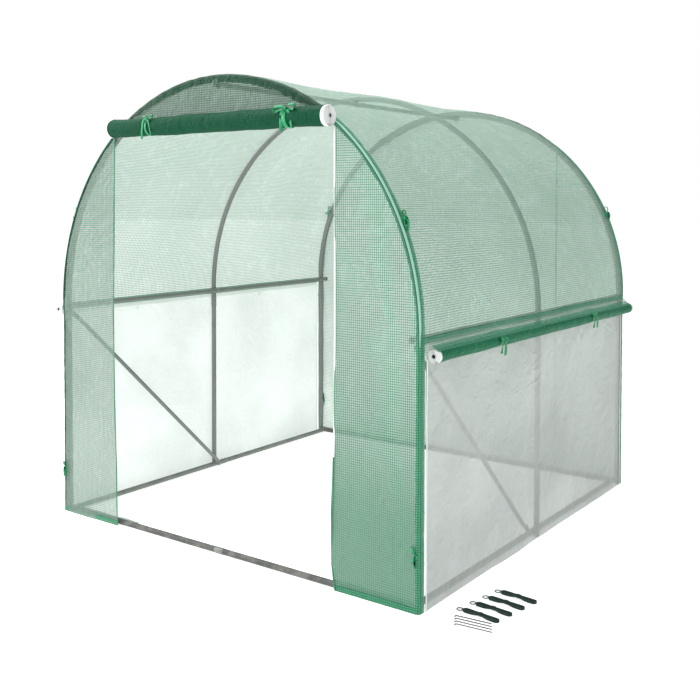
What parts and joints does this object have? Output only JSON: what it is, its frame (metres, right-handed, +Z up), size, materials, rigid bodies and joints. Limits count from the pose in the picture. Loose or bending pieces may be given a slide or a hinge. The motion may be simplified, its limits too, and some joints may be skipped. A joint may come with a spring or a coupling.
{
  "type": "polytunnel greenhouse",
  "caption": "Walk-in tunnel greenhouse: steel hoops under a mesh-reinforced cover, with a roll-up door, roll-up side curtains over clear films, and guy ropes with pegs.",
  "frame": {"origin": "middle of the whole footprint, door roll and curtain rolls included, at ground level", "axes": "+Z up, -Y towards the front doorway, +X to the right as seen from the front"},
  "size_m": [2.4051, 2.1514, 2.0368],
  "materials": {
    "tube": "satin grey paint",
    "bolt": "zinc-plated",
    "cap": "moulded dark green",
    "mesh_cover": "green grid between translucent films",
    "rolled_cover": "green grid sheet in many layers",
    "clear_film": "milky translucent film",
    "roll_core": "white moulded tube",
    "ribbon": "woven green ribbon",
    "rope": "braided dark green cord",
    "ring": "moulded grey-green",
    "peg": "galvanised wire"
  },
  "bodies": {
    "root": {"front_left_leg": "tube", "front_right_leg": "tube", "middle_left_leg": "tube", "middle_right_leg": "tube", "rear_left_leg": "tube", "rear_right_leg": "tube", "front_arch": "tube", "middle_arch": "tube", "rear_arch": "tube", "ridge_rail": "tube", "left_side_rail": "tube", "right_side_rail": "tube", "left_ground_rail": "tube", "right_ground_rail": "tube", "front_ground_rail": "tube", "rear_ground_rail": "tube", "left_brace": "tube", "right_brace": "tube", "frame_bolts": "bolt", "rail_end_caps": "cap", "roof_cover_front_bay": "mesh_cover", "roof_cover_rear_bay": "mesh_cover", "front_left_panel": "mesh_cover", "front_right_panel": "mesh_cover", "front_gable": "mesh_cover", "rear_left_panel": "mesh_cover", "rear_right_panel": "mesh_cover", "rear_door": "mesh_cover", "rear_gable": "mesh_cover", "left_side_film": "clear_film", "right_side_film": "clear_film", "door_roll": "rolled_cover", "left_curtain_roll": "rolled_cover", "right_curtain_roll": "rolled_cover", "door_roll_core": "roll_core", "left_curtain_core": "roll_core", "right_curtain_core": "roll_core", "roll_ties": "ribbon", "hoop_ties": "ribbon", "guy_rope_1": "rope", "guy_rope_2": "rope", "guy_rope_3": "rope", "guy_rope_4": "rope", "guy_rope_rings": "ring", "ground_pegs": "peg"}
  },
  "joints": []
}
